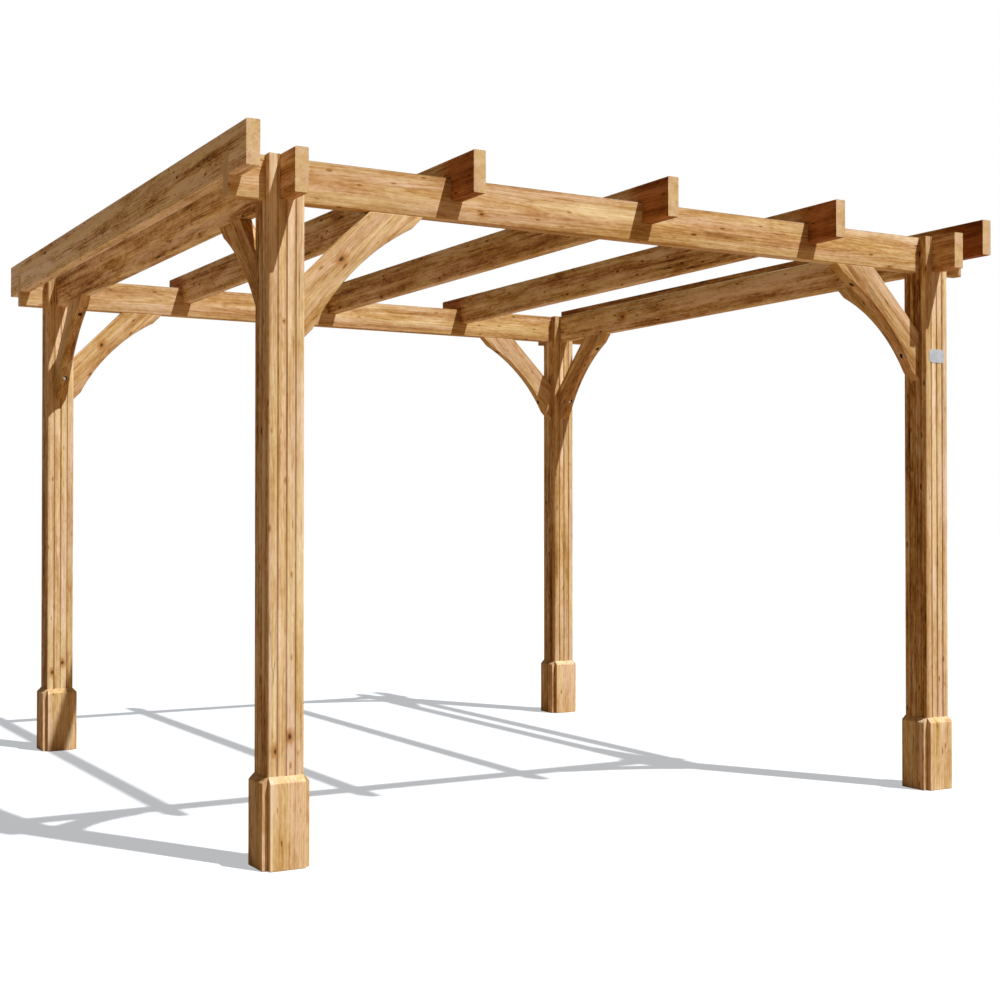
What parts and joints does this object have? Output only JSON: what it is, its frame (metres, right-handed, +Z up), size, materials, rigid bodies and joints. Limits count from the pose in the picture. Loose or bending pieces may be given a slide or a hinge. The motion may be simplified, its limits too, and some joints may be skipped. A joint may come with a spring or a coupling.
{
  "type": "wooden pergola",
  "caption": "Open timber pergola with grooved square posts on bevelled plinths, curved knee braces, halved beams and notched rafters overhead; stands free over a seating area.",
  "frame": {"origin": "on the ground under the middle of the frame", "axes": "+X along the front beam to the right, +Y from front to back, +Z up"},
  "size_m": [3.34, 3.34, 2.418],
  "materials": {
    "post_pine": "planed pine with a honey-brown stain",
    "plinth_pine": "planed pine with a honey-brown stain",
    "beam_pine": "planed pine with a honey-brown stain",
    "rafter_pine": "planed pine with a honey-brown stain",
    "brace_pine": "planed pine with a honey-brown stain",
    "fixings": "zinc-plated steel"
  },
  "bodies": {
    "root": {"post_front_left": "post_pine", "post_front_right": "post_pine", "post_back_right": "post_pine", "post_back_left": "post_pine", "plinth_front_left_front": "plinth_pine", "plinth_front_left_right": "plinth_pine", "plinth_front_left_back": "plinth_pine", "plinth_front_left_left": "plinth_pine", "plinth_front_right_front": "plinth_pine", "plinth_front_right_right": "plinth_pine", "plinth_front_right_back": "plinth_pine", "plinth_front_right_left": "plinth_pine", "plinth_back_right_front": "plinth_pine", "plinth_back_right_right": "plinth_pine", "plinth_back_right_back": "plinth_pine", "plinth_back_right_left": "plinth_pine", "plinth_back_left_front": "plinth_pine", "plinth_back_left_right": "plinth_pine", "plinth_back_left_back": "plinth_pine", "plinth_back_left_left": "plinth_pine", "front_beam": "beam_pine", "back_beam": "beam_pine", "left_beam": "beam_pine", "right_beam": "beam_pine", "rafter_1": "rafter_pine", "rafter_2": "rafter_pine", "rafter_3": "rafter_pine", "rafter_4": "rafter_pine", "rafter_5": "rafter_pine", "brace_front_left": "brace_pine", "brace_front_right": "brace_pine", "brace_back_right": "brace_pine", "brace_back_left": "brace_pine", "brace_left_front": "brace_pine", "brace_right_front": "brace_pine", "brace_right_back": "brace_pine", "brace_left_back": "brace_pine"}
  },
  "joints": []
}
